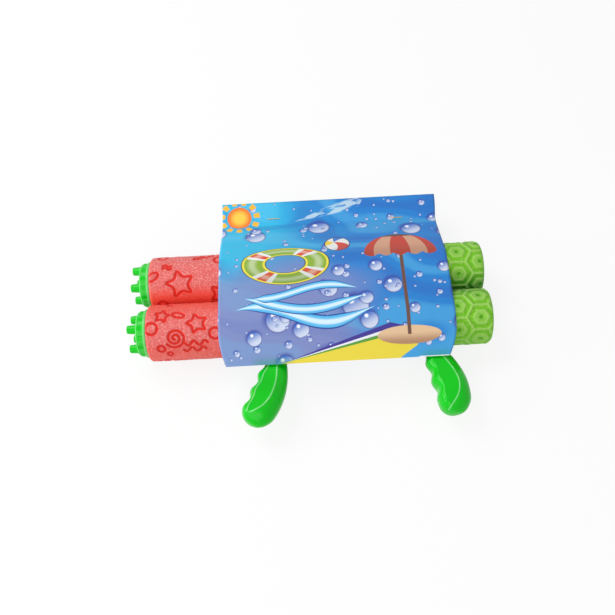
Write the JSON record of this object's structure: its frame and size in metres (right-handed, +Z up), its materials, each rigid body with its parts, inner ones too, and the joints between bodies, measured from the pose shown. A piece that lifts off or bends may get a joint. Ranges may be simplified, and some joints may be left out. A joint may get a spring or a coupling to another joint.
{
  "type": "water squirter",
  "caption": "Pump water squirter: side-by-side foam-sleeved barrels with ribbed nozzle caps, a sliding foam plunger handle, moulded pistol grips and a folded display card.",
  "frame": {"origin": "on the table, under the middle of the outer box", "axes": "+X from the nozzles to the handle's end, +Y from the grips to the card's header, +Z up off the table, out of the card's front panel"},
  "size_m": [0.3312, 0.237, 0.054],
  "materials": {
    "red_foam": "matt closed-cell foam with a fine grain",
    "green_foam": "matt closed-cell foam with a raised shell pattern",
    "green_plastic": "glossy moulded plastic",
    "white_plastic": "satin extruded and moulded plastic",
    "seal_rubber": "black rubber",
    "screw_steel": "zinc-plated steel",
    "card_print": "printed and varnished card, white at its cut edges",
    "staple_wire": "copper-coated steel wire"
  },
  "bodies": {
    "barrel": {"upper_barrel_tube": "white_plastic", "lower_barrel_tube": "white_plastic", "upper_nozzle_cap": "green_plastic", "lower_nozzle_cap": "green_plastic", "upper_nozzle_seal": "seal_rubber", "lower_nozzle_seal": "seal_rubber", "upper_front_foam": "red_foam", "lower_front_foam": "red_foam", "upper_rear_foam": "red_foam", "lower_rear_foam": "red_foam", "upper_end_collar": "green_plastic", "lower_end_collar": "green_plastic", "front_grip_left": "green_plastic", "front_grip_right": "green_plastic", "front_grip_screws": "screw_steel", "card_sleeve": "card_print", "card_staples": "staple_wire"},
    "plunger": {"upper_plunger_rod": "white_plastic", "lower_plunger_rod": "white_plastic", "upper_piston": "white_plastic", "lower_piston": "white_plastic", "upper_piston_ring": "seal_rubber", "lower_piston_ring": "seal_rubber", "upper_handle_core": "white_plastic", "lower_handle_core": "white_plastic", "upper_handle_plug": "green_plastic", "lower_handle_plug": "green_plastic", "upper_handle_front_foam": "green_foam", "lower_handle_front_foam": "green_foam", "upper_handle_rear_foam": "green_foam", "lower_handle_rear_foam": "green_foam", "rear_grip_left": "green_plastic", "rear_grip_right": "green_plastic", "rear_grip_screws": "screw_steel"}
  },
  "joints": [
    {"name": "plunger_slide", "type": "slide", "parent": "barrel", "child": "plunger", "axis": [1, 0, 0], "range_m": [0, 0.18]}
  ]
}
